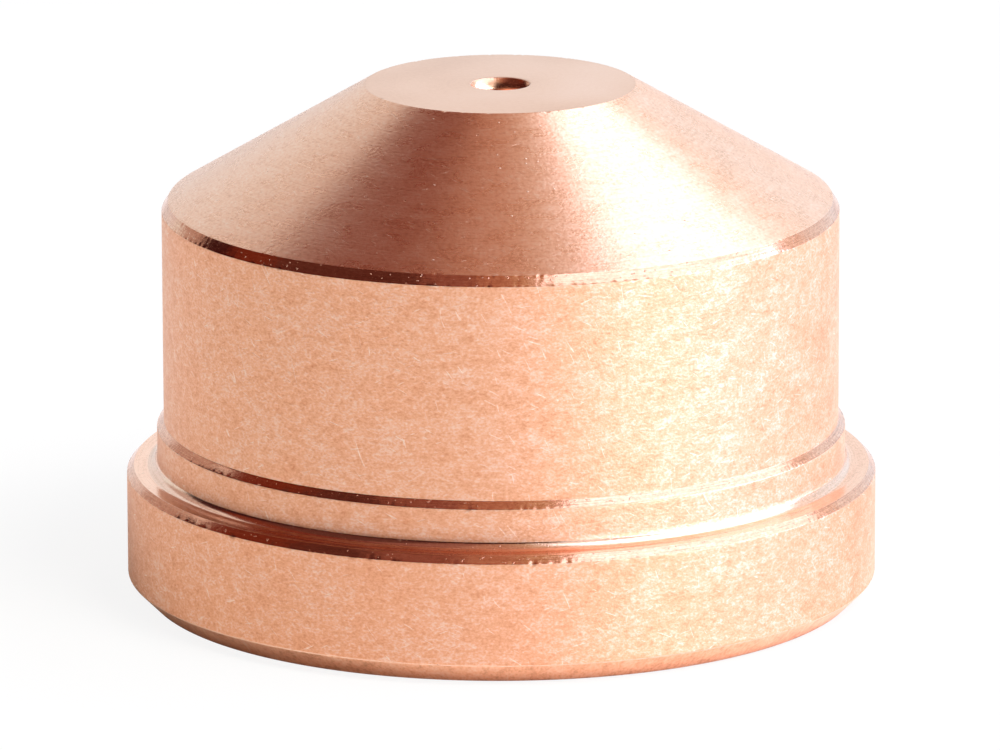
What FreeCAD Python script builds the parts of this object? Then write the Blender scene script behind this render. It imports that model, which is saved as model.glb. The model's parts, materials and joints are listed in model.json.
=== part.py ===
# Plasma cutting torch nozzle: one piece of copper, turned outside and bored from behind.
# Millimetres, +Z up. The origin is the centre of the rear face, and +Z runs along the
# orifice towards the tip, so the part stands on its rear face.
import FreeCAD, Part

import math
import os

# Flange: the collar that the retaining cap clamps.
flange_diameter = 22.0
flange_thickness = 3.8       # rear face to the annular seat under the cap
foot_chamfer = 0.6           # 45 degree lead on the rear outer edge
rim_chamfer = 0.2            # 45 degree edge break beside the seat

# Neck: the short spigot that centres the cap on the seat.
neck_inset = 0.9             # radial width of flange left bare outside the neck
neck_height = 1.17           # seat to the neck's top edge
neck_fillet = 0.2            # root radius left by the turning insert

# Barrel: the plain cylinder above the neck.
barrel_inset = 0.2           # radial step from neck to barrel, turned at 45 degrees
barrel_length = 6.26
barrel_root_fillet = 0.06
neck_edge_round = 0.05

# Nose: a steep edge break, a shallow cone and a flat face round the orifice.
cone_break_width = 0.19      # radial width of the edge break
cone_break_height = 0.295
cone_height = 3.4
nose_face_diameter = 7.9

# Inside, from the rear face to the tip.
socket_diameter = 16.0       # seats the gas swirl ring
socket_depth = 4.2
socket_chamfer = 0.5
socket_root_fillet = 0.3
chamber_diameter = 12.4      # leaves the gas passage round the electrode
chamber_edge_chamfer = 0.25
chamber_end_fillet = 0.8
convergence_angle = 35.0     # slope of the chamber's end, in degrees from the rear face
throat_fillet = 0.4
orifice_diameter = 1.7
orifice_length = 3.2

# Radii and heights that follow from the sizes above.
flange_radius = flange_diameter / 2
neck_radius = flange_radius - neck_inset
barrel_radius = neck_radius - barrel_inset
cone_foot_radius = barrel_radius - cone_break_width
nose_face_radius = nose_face_diameter / 2
socket_radius = socket_diameter / 2
chamber_radius = chamber_diameter / 2
orifice_radius = orifice_diameter / 2

seat_z = flange_thickness
neck_top_z = seat_z + neck_height
barrel_foot_z = neck_top_z + barrel_inset
barrel_top_z = barrel_foot_z + barrel_length
cone_foot_z = barrel_top_z + cone_break_height
tip_z = cone_foot_z + cone_height
throat_z = tip_z - orifice_length
convergence_rise = (chamber_radius - orifice_radius) * math.tan(math.radians(convergence_angle))
chamber_end_z = throat_z - convergence_rise

tool_overrun = 1.0           # how far the boring tool's section runs past each end face


def corner(radius, height, fillet=0.0):
    """One corner of a turned section: a point in the plane y = 0 and its rounding."""
    return FreeCAD.Vector(radius, 0, height), fillet


def rounding(before, point, after, fillet):
    """Where an arc of that radius starts, passes and ends when it rounds a corner."""
    towards_before = (before - point).normalize()
    towards_after = (after - point).normalize()
    half_angle = towards_before.getAngle(towards_after) / 2
    trimmed = fillet / math.tan(half_angle)
    bisector = (towards_before + towards_after).normalize()
    to_centre = fillet / math.sin(half_angle)
    start = point + towards_before * trimmed
    middle = point + bisector * (to_centre - fillet)
    end = point + towards_after * trimmed
    return start, middle, end


def turned(corners):
    """Revolves a closed section, given by its corners in order, round the Z axis."""
    edges = []
    leaving = None
    first_arrival = None
    for index, (point, fillet) in enumerate(corners):
        before = corners[index - 1][0]
        after = corners[(index + 1) % len(corners)][0]
        if fillet > 0:
            start, middle, end = rounding(before, point, after, fillet)
        else:
            start, middle, end = point, None, point
        if leaving is None:
            first_arrival = start
        else:
            edges.append(Part.LineSegment(leaving, start).toShape())
        if middle is not None:
            edges.append(Part.Arc(start, middle, end).toShape())
        leaving = end
    edges.append(Part.LineSegment(leaving, first_arrival).toShape())
    section = Part.Face(Part.Wire(edges))
    return section.revolve(FreeCAD.Vector(0, 0, 0), FreeCAD.Vector(0, 0, 1), 360)


def turned_outside():
    """The outside as it leaves the lathe, still solid: flange, neck, barrel, cone and nose face."""
    return turned([
        corner(0, 0),
        corner(flange_radius - foot_chamfer, 0),
        corner(flange_radius, foot_chamfer),
        corner(flange_radius, seat_z - rim_chamfer),
        corner(flange_radius - rim_chamfer, seat_z),
        corner(neck_radius, seat_z, neck_fillet),
        corner(neck_radius, neck_top_z, neck_edge_round),
        corner(barrel_radius, barrel_foot_z, barrel_root_fillet),
        corner(barrel_radius, barrel_top_z),
        corner(cone_foot_radius, cone_foot_z),
        corner(nose_face_radius, tip_z),
        corner(0, tip_z),
    ])


def bored_inside():
    """What the boring tools take out: swirl ring socket, chamber, convergence and orifice."""
    return turned([
        corner(0, -tool_overrun),
        corner(socket_radius + socket_chamfer, -tool_overrun),
        corner(socket_radius + socket_chamfer, 0),
        corner(socket_radius, socket_chamfer),
        corner(socket_radius, socket_depth, socket_root_fillet),
        corner(chamber_radius + chamber_edge_chamfer, socket_depth),
        corner(chamber_radius, socket_depth + chamber_edge_chamfer),
        corner(chamber_radius, chamber_end_z, chamber_end_fillet),
        corner(orifice_radius, throat_z, throat_fillet),
        corner(orifice_radius, tip_z + tool_overrun),
        corner(0, tip_z + tool_overrun),
    ])


def make_nozzle():
    return turned_outside().cut(bored_inside())


os.makedirs("parts", exist_ok=True)
nozzle = make_nozzle()
nozzle.exportStep("parts/nozzle.step")
print("nozzle: volume %.1f mm3, height %.3f mm, valid %s" % (nozzle.Volume, tip_z, nozzle.isValid()))
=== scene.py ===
import json
import math

import bpy
import numpy as np
from mathutils import Matrix, Vector


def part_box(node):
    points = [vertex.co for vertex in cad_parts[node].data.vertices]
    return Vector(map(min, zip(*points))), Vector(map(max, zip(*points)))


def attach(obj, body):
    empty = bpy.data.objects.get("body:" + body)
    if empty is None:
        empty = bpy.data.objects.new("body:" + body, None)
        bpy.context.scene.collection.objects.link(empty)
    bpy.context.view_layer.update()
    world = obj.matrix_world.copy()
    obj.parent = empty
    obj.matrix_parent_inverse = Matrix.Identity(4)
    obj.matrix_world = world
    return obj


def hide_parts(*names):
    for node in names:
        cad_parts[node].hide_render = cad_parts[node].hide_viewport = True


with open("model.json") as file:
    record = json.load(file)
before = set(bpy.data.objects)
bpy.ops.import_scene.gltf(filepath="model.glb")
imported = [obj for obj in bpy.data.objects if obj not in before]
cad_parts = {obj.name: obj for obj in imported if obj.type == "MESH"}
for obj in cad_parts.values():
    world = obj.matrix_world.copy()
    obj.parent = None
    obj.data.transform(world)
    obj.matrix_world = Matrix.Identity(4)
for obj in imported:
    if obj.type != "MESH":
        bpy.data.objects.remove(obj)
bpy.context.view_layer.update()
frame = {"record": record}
mm = 0.001


def mountNamed(name):
    return next(mount for mount in frame["record"]["mounts"] if mount["name"] == name)


def mountRadius(name):
    return mountNamed(name)["dims"]["r_mm"]


def mountHeight(name):
    return mountNamed(name)["pos_m"][2] / mm


# The turned section, in millimetres. Radii and the end faces come from the frame.
outside = {
    "footChamfer": 0.6,
    "rimChamfer": 0.2,
    "neckHeight": 1.17,
    "neckFillet": 0.3,
    "barrelLength": 6.26,
    "coneBreakWidth": 0.19,
    "coneBreakHeight": 0.295,
    "noseFaceRadius": 3.95,
    "cutEdge": 0.02,       # an edge as the tool left it
    "rubbedEdge": 0.05,    # an edge that handling has rounded
}
inside = {
    "socketDepth": 4.2,
    "socketChamfer": 0.5,
    "socketFillet": 0.3,
    "chamberChamfer": 0.25,
    "chamberFillet": 0.8,
    "convergence": 35.0,   # degrees up from the rear face
    "throatFillet": 0.4,
    "orificeLength": 3.2,
    "bellDepth": 0.5,      # how far down the orifice its mouth is eased, and by how many degrees
    "bellTilt": 30.0,
    "bellFade": 0.2,       # and how far below that the ease has gone
}


def sectionCorners():
    # Every corner is (radius, height, rounding, finish of the stretch that follows it, its name).
    rear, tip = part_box("nozzle")
    flange = min(-rear.x, tip.x, -rear.y, tip.y) / mm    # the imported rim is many-sided
    tipTop = tip.z / mm
    seat = mountHeight("cap_seat")
    neck = mountRadius("neck")
    barrel = mountRadius("barrel")
    socket = mountRadius("socket")
    chamber = mountRadius("chamber")
    orifice = mountRadius("orifice")
    out, bore = outside, inside
    neckTop = seat + out["neckHeight"]
    barrelFoot = neckTop + neck - barrel
    barrelTop = barrelFoot + out["barrelLength"]
    coneFoot = barrelTop + out["coneBreakHeight"]
    coneFootRadius = barrel - out["coneBreakWidth"]
    throat = tipTop - bore["orificeLength"]
    chamberEnd = throat - (chamber - orifice) * math.tan(math.radians(bore["convergence"]))
    cut, rubbed = out["cutEdge"], out["rubbedEdge"]
    return [
        (socket + bore["socketChamfer"], 0, cut, "faced", "socketMouth"),
        (flange - out["footChamfer"], 0, rubbed, "foot", "footLow"),
        (flange, out["footChamfer"], rubbed, "flange", "footHigh"),
        (flange, seat - out["rimChamfer"], cut, "cut", "rimLow"),
        (flange - out["rimChamfer"], seat, cut, "seat", "rimHigh"),
        (neck, seat, out["neckFillet"], "wall", "neckRoot"),
        (neck, neckTop, rubbed, "cut", "neckTop"),
        (barrel, barrelFoot, cut, "wall", "barrelFoot"),
        (barrel, barrelTop, cut, "cut", "barrelTop"),
        (coneFootRadius, coneFoot, cut, "cone", "coneFoot"),
        (out["noseFaceRadius"], tipTop, cut, "nose", "noseRim"),
        (orifice, tipTop, rubbed, "bore", "orificeMouth"),
        (orifice, throat, bore["throatFillet"], "bore", "throat"),
        (chamber, chamberEnd, bore["chamberFillet"], "bore", "chamberEnd"),
        (chamber, bore["socketDepth"] + bore["chamberChamfer"], cut, "bore", "chamberMouthHigh"),
        (chamber + bore["chamberChamfer"], bore["socketDepth"], cut, "bore", "chamberMouthLow"),
        (socket, bore["socketDepth"], bore["socketFillet"], "bore", "socketRoot"),
        (socket, bore["socketChamfer"], cut, "bore", "socketLead"),
    ]


lathe = {
    "segments": 1200,
    "largeRounding": 0.1,  # from here a rounded corner has more facets, outside and inside
    "largeSteps": (5, 3),
    "smallSteps": (2, 1),
    "nearEdge": 0.08,      # a ring beside a corner, where its dents have faded out
    "leastRoom": 2.2,      # a stretch shorter than this many of those gets no such ring
}
finishes = ["faced", "foot", "rubbed", "flange", "wall", "cut", "seat", "cone", "nose", "bore"]
hiddenFinishes = ("bore", "faced")

# Knocks on the outside edges, in millimetres: how many, how deep, how wide, and how uneven the
# edge is all the way round. "known" are the plain ones: degrees round from the front, depth, width.
edgeWear = {
    "footHigh": {"count": 30, "depth": (0.005, 0.02), "width": (0.04, 0.12), "uneven": 0.006,
                 "known": ((-2.4, 0.05, 0.12), (-26.0, 0.035, 0.10), (34.0, 0.02, 0.1))},
    "rimLow": {"count": 50, "depth": (0.005, 0.018), "width": (0.03, 0.09), "uneven": 0.011,
               "known": ((-44.5, 0.03, 0.08), (-22.5, 0.03, 0.06), (4.5, 0.03, 0.05), (9.8, 0.03, 0.05))},
    "neckTop": {"count": 40, "depth": (0.004, 0.014), "width": (0.03, 0.09), "uneven": 0.009,
                "known": ((-5.5, 0.02, 0.1),)},
    "barrelTop": {"count": 50, "depth": (0.004, 0.016), "width": (0.03, 0.08), "uneven": 0.009,
                  "known": ((33.0, 0.03, 0.08),)},
    "coneFoot": {"count": 40, "depth": (0.004, 0.014), "width": (0.03, 0.07), "uneven": 0.004,
                 "known": ((-1.5, 0.02, 0.045), (3.0, 0.02, 0.04), (6.5, 0.02, 0.04))},
    "noseRim": {"count": 30, "depth": (0.004, 0.014), "width": (0.03, 0.08), "uneven": 0.003,
                "known": ((-24.0, 0.02, 0.06), (20.0, 0.02, 0.07))},
    "orificeMouth": {"count": 6, "depth": (0.005, 0.012), "width": (0.04, 0.1), "uneven": 0.003,
                     "known": ()},
}
wearReach = 0.042    # how far from its edge a knock fades, in millimetres
wearSeed = 7
edgeWaves = {"count": 12, "perTurn": (60, 380), "tallest": 3}    # what makes an edge uneven

changeover = {"neckRoot": 0.8}    # how far round a corner its finish changes, where not halfway
rubbedCorners = ("footHigh",)     # handling has polished the whole of these


def sectionRings():
    # Walks the corners and returns each ring's radius and height, the finish of the band that
    # starts there, and the ring on every named corner with the way into the metal from it.
    corners = sectionCorners()
    count = len(corners)
    points = [Vector(corner[:2]) for corner in corners]
    rings, bands, edges = [], [], {}
    for i, (_, _, rounding, finish, name) in enumerate(corners):
        point = points[i]
        before = (points[i - 1] - point).normalized()
        after = (points[(i + 1) % count] - point).normalized()
        half = before.angle(after) / 2
        inward = (before + after).normalized()
        centre = point + inward * rounding / math.sin(half)
        start = point + before * rounding / math.tan(half)
        end = point + after * rounding / math.tan(half)
        sweep = (start - centre).angle_signed(end - centre)
        hidden = finish in hiddenFinishes and name not in edgeWear
        large = rounding > lathe["largeRounding"]
        outsideSteps, insideSteps = lathe["largeSteps"] if large else lathe["smallSteps"]
        steps = insideSteps if hidden else outsideSteps
        for step in range(steps + 1):
            turn = Matrix.Rotation(-sweep * step / steps, 2)
            rings.append(centre + turn @ (start - centre))
            bands.append(finish if step >= steps * changeover.get(name, 0.5) else corners[i - 1][3])
            if name in rubbedCorners and step < steps:
                bands[-1] = "rubbed"
        edges[name] = (len(rings) - 1 - steps // 2, inward)
        following, rounded = points[(i + 1) % count], corners[(i + 1) % count][2]
        halfAfter = (points[(i + 2) % count] - following).angle(point - following) / 2
        length = (following - end).length - rounded / math.tan(halfAfter)
        near = lathe["nearEdge"]
        roomy = length > lathe["leastRoom"] * near
        stops = [near] if roomy and finish not in hiddenFinishes else []
        if name == "orificeMouth":
            stops += [inside["bellDepth"], inside["bellDepth"] + inside["bellFade"]]
        bothWays = {round(place, 4) for stop in stops for place in (stop, length - stop)}
        for place in sorted(place for place in bothWays if 0 < place < length):
            rings.append(end + after * place)
            bands.append(finish)
    return rings, bands, edges


def roundBump(angles, middle, halfWidth):
    # 1 at the middle angle, falling to 0 either side like a bell.
    away = (angles - middle + math.pi) % (2 * math.pi) - math.pi
    return np.exp(-(away / halfWidth) ** 2)


def wornPlaces(rings, edges, angles):
    # How far every point of every ring is pushed, as (radius, height) in millimetres.
    random = np.random.default_rng(wearSeed)
    flat = np.array([[ring.x, ring.y] for ring in rings])
    pushed = np.zeros((len(rings), len(angles), 2))
    for name, wear in edgeWear.items():
        corner, inward = edges[name]
        radius = flat[corner, 0]
        knocks = [(math.radians(turn), depth, width) for turn, depth, width in wear["known"]]
        for _ in range(wear["count"]):
            knocks.append((random.uniform(-math.pi, math.pi), random.uniform(*wear["depth"]),
                           random.uniform(*wear["width"])))
        depth = np.zeros(len(angles))
        for turn, deep, width in knocks:
            depth = np.maximum(depth, deep * roundBump(angles, turn, width / radius))
        perTurn = random.integers(*edgeWaves["perTurn"], edgeWaves["count"])
        waves = sum(np.sin(wave * angles + random.uniform(0, 6.3)) for wave in perTurn)
        depth += wear["uneven"] * np.maximum(waves / edgeWaves["tallest"], 0)
        away = np.linalg.norm(flat - flat[corner], axis=1)
        reach = np.exp(-(away / wearReach) ** 2)
        pushed += reach[:, None, None] * depth[None, :, None] * np.array([inward.x, inward.y])
    return pushed


def buildNozzle():
    rings, bands, edges = sectionRings()
    segments = lathe["segments"]
    count = len(rings)
    angles = (np.arange(segments) + 0.5) / segments * 2 * math.pi    # 0 is the front, towards -Y
    pushed = wornPlaces(rings, edges, angles)
    radius = np.array([ring.x for ring in rings])[:, None] + pushed[:, :, 0]
    height = np.array([ring.y for ring in rings])[:, None] + pushed[:, :, 1]
    place = np.stack([radius * np.sin(angles), -radius * np.cos(angles), np.maximum(height, 0)], -1) * mm
    ring, turn = np.meshgrid(np.arange(count), np.arange(segments), indexing="ij")
    nextRing, nextTurn = (ring + 1) % count, (turn + 1) % segments
    faces = np.stack([ring * segments + turn, ring * segments + nextTurn,
                      nextRing * segments + nextTurn, nextRing * segments + turn], -1).reshape(-1, 4)
    mesh = bpy.data.meshes.new("nozzleTurned")
    mesh.from_pydata(place.reshape(-1, 3).tolist(), [], faces.tolist())
    band = np.repeat([finishes.index(finish) for finish in bands], segments)
    mesh.polygons.foreach_set("material_index", band.astype(np.int32))
    mesh.polygons.foreach_set("use_smooth", np.ones(len(faces), bool))
    mesh.update()
    normals = ringNormals(place)
    easeMouth(normals, place)
    mesh.normals_split_custom_set_from_vertices(normals.reshape(-1, 3).tolist())
    body = bpy.data.objects.new("nozzleTurned", mesh)
    bpy.context.scene.collection.objects.link(body)
    print("nozzle turned:", count, "rings,", 2 * count * segments, "triangles")
    return body


def ringNormals(place):
    # Vertex normals weighted by face area, so that flats stay flat up to their rounded edges.
    along = np.roll(place, -1, 0) - place
    diagonal = np.roll(np.roll(place, -1, 0), -1, 1) - place
    across = np.roll(place, -1, 1) - place
    face = np.cross(across, diagonal) + np.cross(diagonal, along)
    point = face + np.roll(face, 1, 0)
    point = point + np.roll(point, 1, 1)
    return point / np.linalg.norm(point, axis=2, keepdims=True)


def easeMouth(normals, place):
    # Leans the normals at the top of the orifice upwards, as in a mouth that burning has eased.
    radius = np.hypot(place[:, 0, 0], place[:, 0, 1]) / mm
    depth = place[:, 0, 2].max() / mm - place[:, 0, 2] / mm
    slack = 0.01
    wall = (radius < mountRadius("orifice") + slack) & (depth < inside["bellDepth"] + slack)
    normals[wall, :, 2] += math.tan(math.radians(inside["bellTilt"]))
    normals[wall] /= np.linalg.norm(normals[wall], axis=2, keepdims=True)


class Wire:
    # A value on its way through a node tree. Sums on it add Math nodes.
    def __init__(self, tree, socket):
        self.tree = tree
        self.socket = socket

    def maths(self, operation, first, second=0.0):
        return self.tree.node("ShaderNodeMath", {"operation": operation}, {0: first, 1: second})

    def __add__(self, other):
        return self.maths("ADD", self, other)

    def __radd__(self, other):
        return self.maths("ADD", other, self)

    def __sub__(self, other):
        return self.maths("SUBTRACT", self, other)

    def __rsub__(self, other):
        return self.maths("SUBTRACT", other, self)

    def __mul__(self, other):
        return self.maths("MULTIPLY", self, other)

    def __rmul__(self, other):
        return self.maths("MULTIPLY", other, self)

    def __pow__(self, other):
        return self.maths("POWER", self, other)

    def clamped(self):
        return self.tree.node("ShaderNodeClamp", None, {0: self})


class Tree:
    def __init__(self, owner):
        owner.use_nodes = True
        self.nodes = owner.node_tree.nodes
        self.links = owner.node_tree.links
        self.nodes.clear()

    def node(self, kind, settings=None, values=None, out=0):
        made = self.nodes.new(kind)
        for name, value in (settings or {}).items():
            setattr(made, name, value)
        for name, value in (values or {}).items():
            if isinstance(value, Wire):
                self.links.new(value.socket, made.inputs[name])
            else:
                made.inputs[name].default_value = value
        return Wire(self, made.outputs[out]) if len(made.outputs) else made

    def vector(self, operation, first, second=(0, 0, 0), by=1.0):
        return self.node("ShaderNodeVectorMath", {"operation": operation}, {0: first, 1: second, 3: by})

    def blend(self, amount, first, second):
        return self.node("ShaderNodeMix", {"data_type": "RGBA"}, {0: amount, 6: first, 7: second}, 2)

    def step(self, value, low, high):
        settings = {"interpolation_type": "SMOOTHSTEP"}
        return self.node("ShaderNodeMapRange", settings, {0: value, 1: low, 2: high})

    def noise(self, where, scale, detail=3.0, roughness=0.5):
        return self.node("ShaderNodeTexNoise", None,
                         {"Vector": where, "Scale": scale, "Detail": detail, "Roughness": roughness})


def partSpace(tree):
    # Places on the part in millimetres: the point itself, its distance from the axis, the way
    # along the turned section, and the way round it.
    point = tree.vector("SCALE", tree.node("ShaderNodeTexCoord", None, None, "Object"), by=1 / mm)
    x, y, z = [tree.node("ShaderNodeSeparateXYZ", None, {0: point}, axis) for axis in range(3)]
    radius = (x * x + y * y) ** 0.5
    around = tree.node("ShaderNodeMath", {"operation": "ARCTAN2"}, {0: x, 1: 0 - y}) * radius
    return x, y, radius - z, around


def stretched(tree, place, roundRate, alongRate, seed=0.0):
    # The place scaled for a texture: its rates per millimetre round the part and along the section.
    x, y, way, _ = place
    return tree.node("ShaderNodeCombineXYZ", None,
                     {0: x * roundRate + seed, 1: y * roundRate, 2: way * alongRate})


def flecks(tree, place, roundRate, alongRate, detail=3.0, roughness=0.7, seed=0.0):
    # Noise about 0, roughly from -0.5 to 0.5.
    return tree.noise(stretched(tree, place, roundRate, alongRate, seed), 1.0, detail, roughness) - 0.5


scratchHabit = {
    "bendRate": 0.45,            # how often a scratch bends, per millimetre
    "patchRates": (0.35, 0.5),   # the patches where scratches crowd, round and along
    "crowding": 0.15,
    "softness": 0.03,
}


def scratches(tree, place, slant, length, width, share, bend=0.0, seed=0.0):
    # Fine scratches at that slant from level, curved by bend millimetres, 1 on the scratch.
    _, _, way, around = place
    c, s = math.cos(math.radians(slant)), math.sin(math.radians(slant))
    rate = scratchHabit["bendRate"]
    across = way * c - around * s + flecks(tree, place, rate, rate, 0.0, seed=seed + 4.0) * bend
    where = tree.node("ShaderNodeCombineXYZ", None,
                      {0: (around * c + way * s) * (1 / length), 1: across * (1 / width), 2: seed})
    line = tree.noise(where, 1.0, 0.0)
    patch = flecks(tree, place, *scratchHabit["patchRates"], 1.0, seed=seed + 1.5)
    least = 1 - share
    return tree.step(line + patch * scratchHabit["crowding"], least, least + scratchHabit["softness"])


def pits(tree, place, cell, radius, share, seed=0.0):
    # Small round pits in some of the cells.
    where = stretched(tree, place, 1 / cell, 1 / cell, seed)
    cells = {"Vector": where, "Scale": 1.0}
    away = tree.node("ShaderNodeTexVoronoi", None, cells, "Distance")
    kind = tree.node("ShaderNodeTexVoronoi", None, cells, "Color")
    chosen = tree.step(tree.node("ShaderNodeSeparateColor", None, {0: kind}, 0), 1 - share, 1.02 - share)
    return (1 - tree.step(away, 0.4 * radius / cell, radius / cell)) * chosen


def finishCopper(tree, look, shade, roughness, height):
    # shade is 0 for the plain colour, below 0 for browner and above 0 for paler.
    colour = tree.blend(shade.clamped(), look["colour"], look["paler"])
    colour = tree.blend((0 - shade).clamped(), colour, look["browner"])
    bump = tree.node("ShaderNodeBump", None,
                     {"Strength": 1.0, "Distance": look["relief"] * mm, "Height": height})
    shader = tree.node("ShaderNodeBsdfPrincipled", None,
                       {"Base Color": colour, "Metallic": 1.0, "Roughness": roughness, "Normal": bump})
    tree.node("ShaderNodeOutputMaterial", None, {"Surface": shader})


wallLook = {
    "colour": (0.92, 0.49, 0.298, 1), "paler": (1.0, 0.75, 0.61, 1), "browner": (0.74, 0.29, 0.14, 1),
    "roughness": 0.48, "relief": 0.008,
    "grain": 1.9, "fleck": 1.2, "mottle": 0.9, "scratch": 0.7, "speck": 0.6, "pit": 0.6,
}


# The flange wall: the barrel wall's finish with a slightly darker colour, painted shade standing in for the
# shadowed table it reflects.
flangePaintedShadeLook = dict(wallLook, colour=(0.915, 0.47, 0.28, 1))


def wallFinish(tree, look):
    # Turned, then tumbled: a fine pale grain with a few scratches, specks and pits.
    place = partSpace(tree)
    grain = flecks(tree, place, 10.0, 16.0, 1.0, 0.7)
    fleck = flecks(tree, place, 2.6, 5.0, 1.0, 0.6, seed=12.5)
    mottle = flecks(tree, place, 0.7, 1.0, 2.0, 0.6, seed=3.1)
    curved = scratches(tree, place, 66, 0.7, 0.06, 0.19, bend=1.6, seed=1.7)
    rising = scratches(tree, place, 22, 0.65, 0.06, 0.21, bend=0.6, seed=2.0)
    falling = scratches(tree, place, -18, 0.6, 0.06, 0.20, bend=0.6, seed=9.0)
    speck = pits(tree, place, 1.1, 0.045, 0.3, seed=4.4)
    pit = pits(tree, place, 1.3, 0.05, 0.25, seed=14.1)
    scratch = curved + rising + falling
    shade = (grain * look["grain"] + fleck * look["fleck"] + mottle * look["mottle"]
             + scratch * look["scratch"] + speck * look["speck"] - pit * look["pit"])
    height = grain + fleck * 0.4 - scratch * 0.3 - pit * 1.0 + speck * 0.4
    roughness = look["roughness"] + mottle * 0.12 - scratch * 0.06
    finishCopper(tree, look, shade, roughness, height)


coneLook = {
    "colour": (0.93, 0.56, 0.385, 1), "paler": (1.0, 0.78, 0.64, 1), "browner": (0.6, 0.28, 0.16, 1),
    "roughness": 0.28, "relief": 0.005,
    "grain": 1.4, "line": 0.6, "mottle": 0.7, "scratch": 0.5, "speck": 1.5, "pit": 1.5,
}


def coneFinish(tree, look):
    # Turned fine: faint rings round it, small pits and specks, patches of slanting scratches.
    place = partSpace(tree)
    grain = flecks(tree, place, 8.0, 6.0, 1.0, 0.7, seed=1.3)
    mottle = flecks(tree, place, 1.0, 1.2, 2.0, 0.55, seed=5.1)
    line = flecks(tree, place, 0.7, 12.0, 1.0, 0.6, seed=2.9)
    rising = scratches(tree, place, 40, 0.6, 0.05, 0.23, bend=0.3, seed=5.0)
    falling = scratches(tree, place, -24, 0.5, 0.05, 0.18, bend=0.3, seed=8.0)
    pit = pits(tree, place, 0.5, 0.04, 0.3, seed=2.2)
    speck = pits(tree, place, 0.38, 0.036, 0.4, seed=7.9)
    shade = (grain * look["grain"] + mottle * look["mottle"] + line * look["line"]
             + (rising + falling) * look["scratch"] + speck * look["speck"] - pit * look["pit"])
    height = grain * 0.8 + line * 0.5 - (rising + falling) * 0.4 - pit * 1.5 + speck * 1.2
    finishCopper(tree, look, shade, look["roughness"] + mottle * 0.08, height)


cutLook = {
    "colour": (0.80, 0.40, 0.26, 1), "paler": (1.0, 0.7, 0.5, 1), "browner": (0.42, 0.16, 0.08, 1),
    "roughness": 0.15, "relief": 0.0022, "line": 1.0, "chatter": 1.4, "burr": 8.0,
}
# The seat: the cut finish with a paler colour, a painted highlight standing in for the bright reflection that
# the flat catches.
seatPaintedHighlightLook = {
    "colour": (0.90, 0.57, 0.42, 1), "paler": (1.0, 0.78, 0.64, 1), "browner": (0.55, 0.24, 0.13, 1),
    "roughness": 0.17, "relief": 0.0018, "line": 0.8, "chatter": 1.0, "burr": 3.0,
}


def cutFinish(tree, look):
    # Bright from the tool: rings round it and the chatter between them.
    place = partSpace(tree)
    line = flecks(tree, place, 0.6, 16.0, 1.0, 0.6, seed=3.3)
    chatter = flecks(tree, place, 7.0, 9.0, 2.0, 0.7, seed=6.6)
    burr = tree.step(flecks(tree, place, 9.0, 9.0, 0.0, seed=2.7), 0.27, 0.33)
    shade = line * look["line"] + chatter * look["chatter"]
    height = line * 0.6 + chatter * 1.2 + burr * look["burr"]
    finishCopper(tree, look, shade, look["roughness"] + chatter * 0.12, height)


noseLook = {
    "colour": (0.80, 0.54, 0.41, 1), "paler": (0.9, 0.68, 0.58, 1), "browner": (0.6, 0.34, 0.22, 1),
    "roughness": 0.3, "relief": 0.001, "domed": 0.008, "stain": 1.6, "stainSize": 0.22, "stainSeed": 3.0,
    "grain": 0.5, "line": 0.25, "speck": 0.3,
}


def noseFinish(tree, look):
    # Faced off last: fine rings, a few specks, and very slightly domed, with a broad painted shading across
    # it.
    place = partSpace(tree)
    x, y, _, _ = place
    grain = flecks(tree, place, 7.0, 9.0, 1.0, 0.6, seed=1.9)
    line = flecks(tree, place, 0.3, 13.0, 1.0, 0.6, seed=4.9)
    speck = pits(tree, place, 1.1, 0.04, 0.35, seed=8.8)
    dome = (x * x + y * y) * (-look["domed"] / look["relief"])
    # A broad blotch of darker and paler colour across the face: painted shade and highlight, in place of the
    # reflection's fall-off from one side to the other.
    stain = flecks(tree, place, look["stainSize"], look["stainSize"], 1.0, seed=look["stainSeed"])
    shade = grain * look["grain"] + line * look["line"] - speck * look["speck"] + stain * look["stain"]
    height = line * 0.4 + grain * 0.6 - speck * 1.5 + dome
    finishCopper(tree, look, shade, look["roughness"] + line * 0.05, height)


footLook = {
    "colour": (0.94, 0.52, 0.325, 1), "paler": (1.0, 0.7, 0.55, 1), "browner": (0.6, 0.26, 0.14, 1),
    "roughness": 0.36, "relief": 0.004,
    "grain": 1.8, "fleck": 1.2, "mottle": 0.8, "scratch": 0.3, "speck": 0.4, "pit": 0.6,
}
rubbedLook = {
    "colour": (0.96, 0.62, 0.46, 1), "paler": (1.0, 0.8, 0.68, 1), "browner": (0.75, 0.36, 0.22, 1),
    "roughness": 0.3, "relief": 0.0012, "line": 0.6, "chatter": 2.0, "burr": 0.0,
}
boreLook = {
    "colour": (0.88, 0.47, 0.30, 1), "paler": (1.0, 0.68, 0.5, 1), "browner": (0.5, 0.22, 0.12, 1),
    "roughness": 0.22, "relief": 0.0012, "line": 0.6, "chatter": 0.6, "burr": 0.0,
}


coats = {
    "faced": (wallFinish, footLook),
    "foot": (wallFinish, footLook),
    "rubbed": (cutFinish, rubbedLook),
    "flange": (wallFinish, flangePaintedShadeLook),
    "wall": (wallFinish, wallLook),
    "cut": (cutFinish, cutLook),
    "seat": (cutFinish, seatPaintedHighlightLook),
    "cone": (coneFinish, coneLook),
    "nose": (noseFinish, noseLook),
    "bore": (cutFinish, boreLook),
}


def dress(body):
    for name in finishes:
        material = bpy.data.materials.new("copper_" + name)
        finish, look = coats[name]
        finish(Tree(material), look)
        body.data.materials.append(material)


nozzle = buildNozzle()
dress(nozzle)
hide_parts("nozzle")
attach(nozzle, "root")
print("nozzle dressed")


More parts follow.
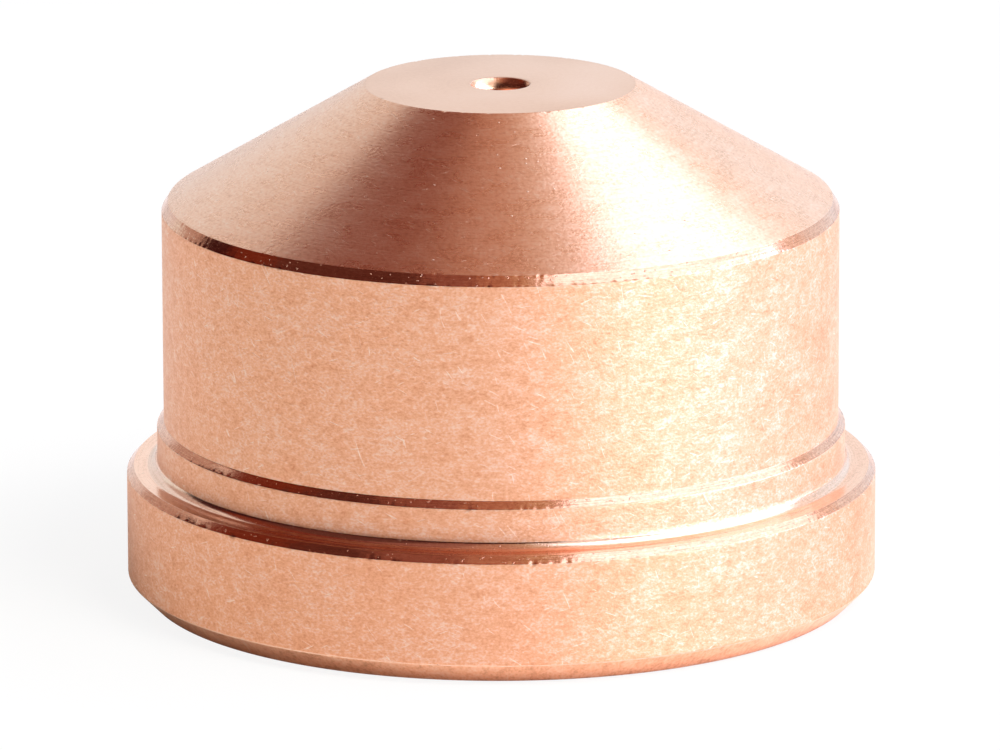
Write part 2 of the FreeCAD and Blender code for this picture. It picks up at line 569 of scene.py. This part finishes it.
studio = {
    "tableSize": 6.0,
    "tableDrop": 0.00002,
    "tableColour": (0.8, 0.76, 0.69, 1.0),
    "tableWhiteSeen": 0.88,      # share of plain white that the camera sees in the table
    "tableWhiteMirrored": 0.0,   # the same for reflections in the part
    "skyForTable": 0.33,
    "hiddenFromMetal": ("softboxTable",),
    "aim": (0, 0, 0.0075),
}


def seenRay(tree, direct=1.0, mirrored=1.0):
    # Those values for the rays that the camera, a reflection or a glass sends out, 0 for the
    # rays that carry light.
    camera, glossy, through = [tree.node("ShaderNodeLightPath", None, None, out) for out in
                               ("Is Camera Ray", "Is Glossy Ray", "Is Transmission Ray")]
    return camera * direct + glossy * mirrored + through * direct


def buildTable():
    half = studio["tableSize"] / 2
    mesh = bpy.data.meshes.new("table")
    around = ((-half, -half), (half, -half), (half, half), (-half, half))
    corners = [(x, y, -studio["tableDrop"]) for x, y in around]
    mesh.from_pydata(corners, [], [(0, 1, 2, 3)])
    table = bpy.data.objects.new("table", mesh)
    bpy.context.scene.collection.objects.link(table)
    material = bpy.data.materials.new("paleTable")
    tree = Tree(material)
    matt = tree.node("ShaderNodeBsdfDiffuse", None, {"Color": studio["tableColour"]})
    white = tree.node("ShaderNodeEmission", None, {"Color": (1, 1, 1, 1), "Strength": 1.0})
    surface = tree.node("ShaderNodeMixShader", None,
                        {0: seenRay(tree, studio["tableWhiteSeen"], studio["tableWhiteMirrored"]),
                         1: matt, 2: white})
    tree.node("ShaderNodeOutputMaterial", None, {"Surface": surface})
    mesh.materials.append(material)


def buildSky():
    world = bpy.data.worlds.new("paleRoom")
    bpy.context.scene.world = world
    tree = Tree(world)
    level = seenRay(tree) * (1 - studio["skyForTable"]) + studio["skyForTable"]
    sky = tree.node("ShaderNodeBackground", None, {"Color": (1, 1, 1, 1), "Strength": level})
    tree.node("ShaderNodeOutputWorld", None, {"Surface": sky})


# Softboxes, cards and flags round the part. Each faces it along its axis, lies at that offset and
# spans the two ranges on the other axes, in metres. Level 1 is white.
panels = {
    "softboxTable": {"axis": "z", "offset": 1.0, "spans": ((0.3, 0.9), (-0.9, -0.3)),
        "level": 17, "colour": (1.00, 1.00, 1.00)},
    "softboxOverhead": {"axis": "z", "offset": 0.6, "spans": ((0.15, 1.2), (-0.5, 0.6)),
        "level": 1.9, "colour": (0.66, 0.74, 1.00)},
    "softboxSideFront": {"axis": "x", "offset": 1.2, "spans": ((-2.0, -0.6), (0.0, 0.6)),
        "level": 6.8, "colour": (0.65, 0.81, 1.00)},
    "softboxSide": {"axis": "x", "offset": 1.2, "spans": ((-0.6, 0.5), (0.0, 0.6)),
        "level": 6, "colour": (0.45, 0.58, 1.00)},
    "flagTopFront": {"axis": "z", "offset": 0.61, "spans": ((-1.3, -0.28), (-0.8, 0.05)),
        "level": 0.12, "colour": (1.00, 0.35, 0.28)},
    "flagTopFrontEdge": {"axis": "z", "offset": 0.61, "spans": ((-0.28, -0.08), (-0.8, 0.05)),
        "level": 0.3, "colour": (1.00, 0.42, 0.33)},
    "flagTopBack": {"axis": "z", "offset": 0.61, "spans": ((-1.3, -0.08), (0.05, 0.45)),
        "level": 0.19, "colour": (1.00, 0.21, 0.11)},
    "flagTopEdge": {"axis": "z", "offset": 0.61, "spans": ((-0.08, 0.05), (-0.8, 0.6)),
        "level": 0.5, "colour": (1.00, 0.52, 0.36)},
    "cardTopEdge": {"axis": "z", "offset": 0.61, "spans": ((0.05, 0.15), (-0.8, 0.6)),
        "level": 0.63, "colour": (1.00, 0.69, 0.45)},
    "flagLeft": {"axis": "x", "offset": -1.3, "spans": ((-0.8, 0.95), (0.3, 1.0)),
        "level": 0.05, "colour": (1.00, 0.20, 0.20)},
    "cardLeft": {"axis": "x", "offset": -1.3, "spans": ((-0.8, 0.95), (0.0, 0.3)),
        "level": 0.04, "colour": (1.00, 0.50, 0.50)},
    "cardFront": {"axis": "y", "offset": -0.8, "spans": ((-1.3, 0.3), (0.2, 0.61)),
        "level": 0.05, "colour": (1.00, 0.30, 0.24)},
    "cardFrontLow": {"axis": "y", "offset": -0.8, "spans": ((-1.3, 0.3), (0.0, 0.2)),
        "level": 0.35, "colour": (1.00, 0.57, 0.43)},
    "flagBackLeft": {"axis": "y", "offset": 0.95, "spans": ((-1.3, -0.62), (0.25, 1.0)),
        "level": 0.58, "colour": (1.00, 0.81, 0.74)},
    "cardBackLeft": {"axis": "y", "offset": 0.95, "spans": ((-1.3, -0.62), (0.0, 0.25)),
        "level": 1, "colour": (0.88, 1.00, 1.00)},
    "cardBackMid": {"axis": "y", "offset": 0.95, "spans": ((-0.62, -0.1), (0.0, 1.0)),
        "level": 0.98, "colour": (0.90, 0.96, 1.00)},
    "cardBack": {"axis": "y", "offset": 0.95, "spans": ((-0.1, 0.3), (0.0, 0.61)),
        "level": 1.05, "colour": (1.00, 1.00, 1.00)},
    "cardBackRight": {"axis": "y", "offset": 0.95, "spans": ((0.3, 1.2), (0.0, 0.61)),
        "level": 1.36, "colour": (0.74, 0.88, 1.00)},
}


def direction(azimuth, elevation):
    # Azimuth is from the camera's side towards +X, both in degrees.
    a, e = math.radians(azimuth), math.radians(elevation)
    return Vector((math.sin(a) * math.cos(e), -math.cos(a) * math.cos(e), math.sin(e)))


def panelPlace(panel):
    # The panel's centre, its size and the turn that makes its face look back at the part.
    middle = [(low + high) / 2 for low, high in panel["spans"]]
    size = [high - low for low, high in panel["spans"]]
    if panel["axis"] == "z":
        return Vector((*middle, panel["offset"])), size, Matrix.Identity(3)
    sign = math.copysign(1, panel["offset"])
    if panel["axis"] == "x":
        centre, across = Vector((panel["offset"], *middle)), Vector((0, sign, 0))
    else:
        centre, across = Vector((middle[0], panel["offset"], middle[1])), Vector((-sign, 0, 0))
    up = Vector((0, 0, 1))
    return centre, size, Matrix((across, up, across.cross(up))).transposed()


def placePanel(piece, panel):
    centre, _, turn = panelPlace(panel)
    bpy.context.scene.collection.objects.link(piece)
    piece.matrix_world = Matrix.Translation(centre) @ turn.to_4x4()
    piece.visible_camera = False


def buildSoftbox(name, panel):
    lamp = bpy.data.lights.new(name, "AREA")
    lamp.shape = "RECTANGLE"
    lamp.size, lamp.size_y = panelPlace(panel)[1]
    lamp.energy = panel["level"] * math.pi * lamp.size * lamp.size_y
    lamp.color = panel["colour"]
    softbox = bpy.data.objects.new(name, lamp)
    placePanel(softbox, panel)
    softbox.visible_glossy = name not in studio["hiddenFromMetal"]


def buildFlag(name, panel):
    mesh = bpy.data.meshes.new(name)
    w, h = (side / 2 for side in panelPlace(panel)[1])
    mesh.from_pydata([(-w, -h, 0), (w, -h, 0), (w, h, 0), (-w, h, 0)], [], [(0, 1, 2, 3)])
    material = bpy.data.materials.new(name)
    tree = Tree(material)
    tone = tree.node("ShaderNodeEmission", None, {"Color": (*panel["colour"], 1), "Strength": panel["level"]})
    tree.node("ShaderNodeOutputMaterial", None, {"Surface": tone})
    mesh.materials.append(material)
    flag = bpy.data.objects.new(name, mesh)
    placePanel(flag, panel)
    flag.visible_diffuse = False
    flag.visible_shadow = False


buildTable()
buildSky()
for name, panel in panels.items():
    (buildSoftbox if name.startswith("softbox") else buildFlag)(name, panel)
print("studio lit")


camera = {
    "distance": 0.2993,
    "elevation": 14.18,    # degrees above the table
    "roll": -0.154,        # degrees
    "aim": (-0.000028, 0, 0.00637),
    "lens": 367.3,
    "sensor": 36.0,
    "clip": (0.01, 20.0),
}


def buildCamera():
    data = bpy.data.cameras.new("camera")
    data.lens, data.sensor_width = camera["lens"], camera["sensor"]
    data.clip_start, data.clip_end = camera["clip"]
    stand = bpy.data.objects.new("camera", data)
    back = direction(0, camera["elevation"])
    stand.location = Vector(camera["aim"]) + back * camera["distance"]
    level = back.to_track_quat("Z", "Y").to_matrix()
    roll = Matrix.Rotation(math.radians(camera["roll"]), 3, "Z")
    stand.matrix_world = Matrix.Translation(stand.location) @ (level @ roll).to_4x4()
    bpy.context.scene.collection.objects.link(stand)
    bpy.context.scene.camera = stand


buildCamera()
bpy.context.scene.view_settings.view_transform = "Standard"
